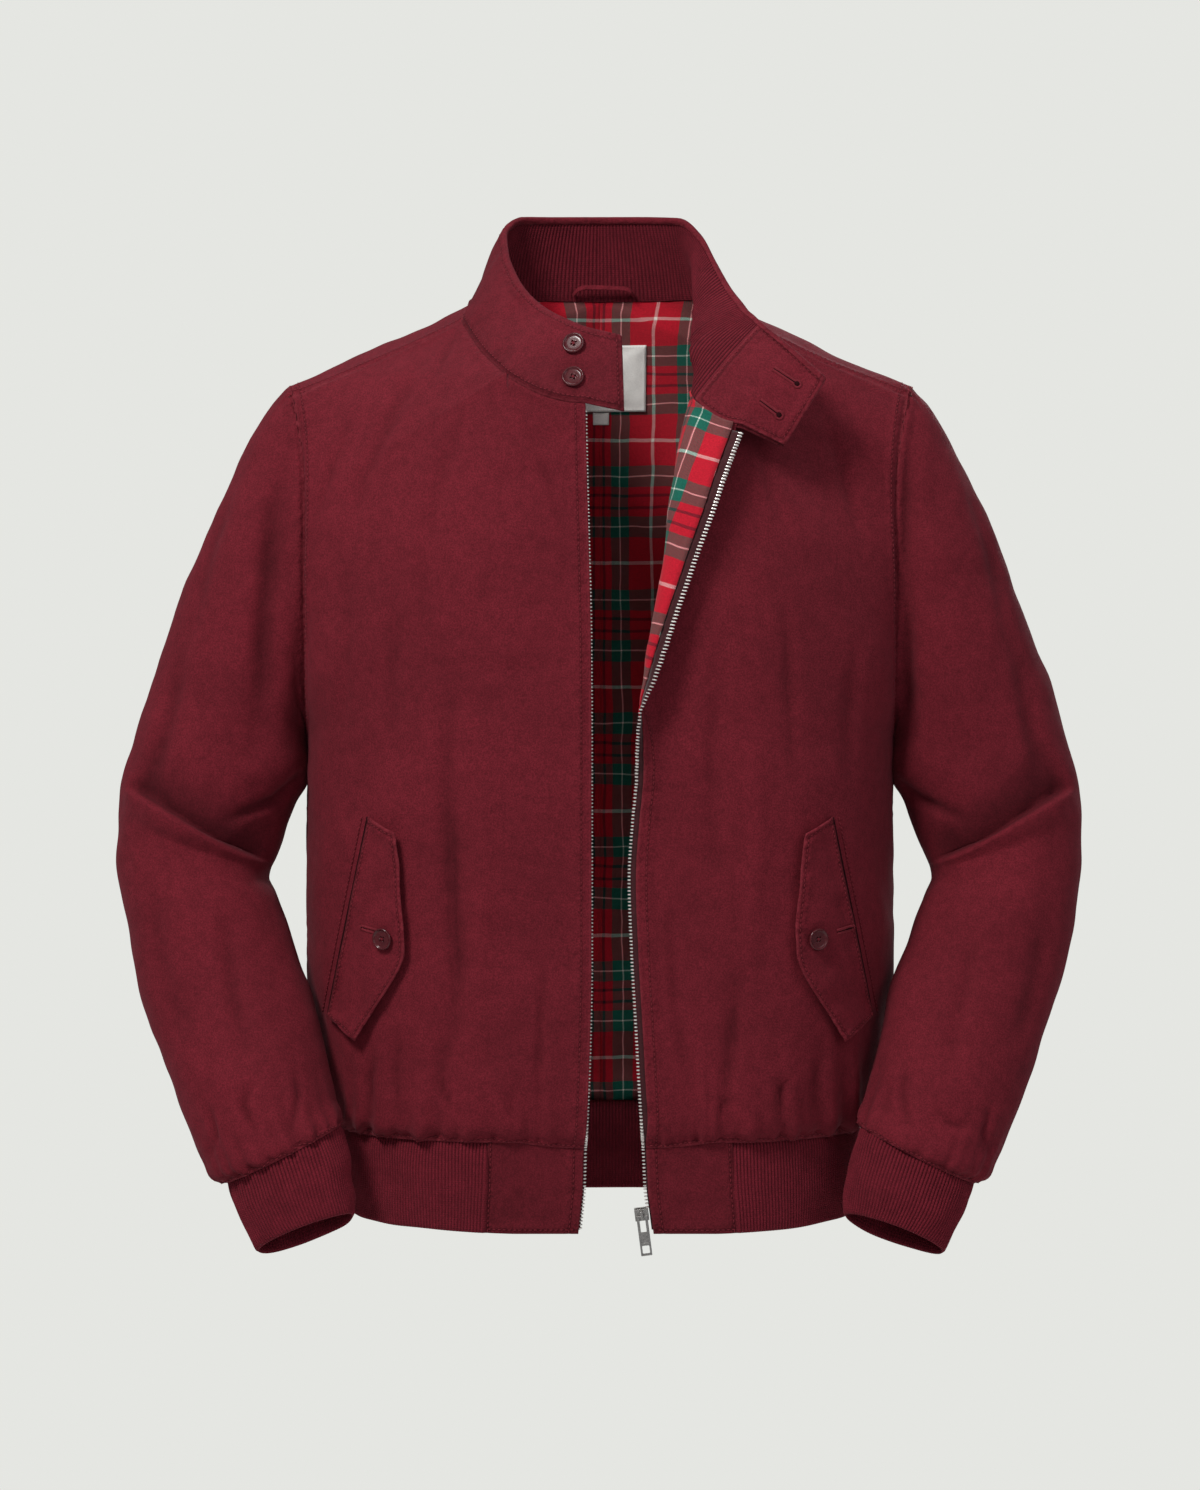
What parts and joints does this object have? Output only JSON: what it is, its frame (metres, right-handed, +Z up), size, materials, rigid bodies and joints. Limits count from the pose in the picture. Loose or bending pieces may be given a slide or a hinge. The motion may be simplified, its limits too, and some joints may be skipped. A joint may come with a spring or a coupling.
{
  "type": "harrington jacket",
  "caption": "Waist-length harrington jacket, filled out as worn: stand collar with button tab, ribbed cuffs and hem, flap pockets, zip front open on a check lining.",
  "frame": {"origin": "middle of the neck opening at the height of the shoulder seams' neck ends, where the wearer's neck and shoulders hold the jacket", "axes": "+Z up the wearer's body, -Y out of the front, +X to the wearer's left"},
  "size_m": [0.7116, 0.2771, 0.7585],
  "materials": {
    "twill": "brushed burgundy cotton twill",
    "rib": "burgundy rib knit",
    "check": "brushed cotton, red tartan",
    "button": "burgundy, glossy",
    "tape": "woven zip tape, burgundy",
    "nickel": "satin nickel plate",
    "label": "bare woven satin label"
  },
  "bodies": {
    "jacket": {"front_right": "twill", "front_left": "twill", "back": "twill", "sleeve_right": "twill", "sleeve_left": "twill", "lining_front_right": "check", "lining_front_left": "check", "lining_back": "check", "cuff_right": "rib", "cuff_left": "rib", "hem_rib": "rib", "hem_band_right": "twill", "hem_band_left": "twill", "collar_outer": "twill", "collar_rib": "rib", "collar_facing_right": "twill", "collar_facing_left": "twill", "pocket_flap_right": "twill", "pocket_flap_left": "twill", "hanger_loop": "twill", "pocket_button_right": "button", "pocket_button_left": "button", "collar_button_upper": "button", "collar_button_lower": "button", "zip_tape_right": "tape", "zip_tape_left": "tape", "zip_chain_right": "nickel", "zip_chain_left": "nickel", "zip_slider": "nickel", "neck_label": "label", "size_label": "label"},
    "pull_tab": {"pull_tab": "nickel"}
  },
  "joints": [
    {"name": "pull_tab_swing", "type": "hinge", "parent": "jacket", "child": "pull_tab", "pos_m": [0.0301, -0.11663, -0.65599], "axis": [-0.9918, 0.0133, -0.1272], "range_deg": [0, 165]}
  ]
}
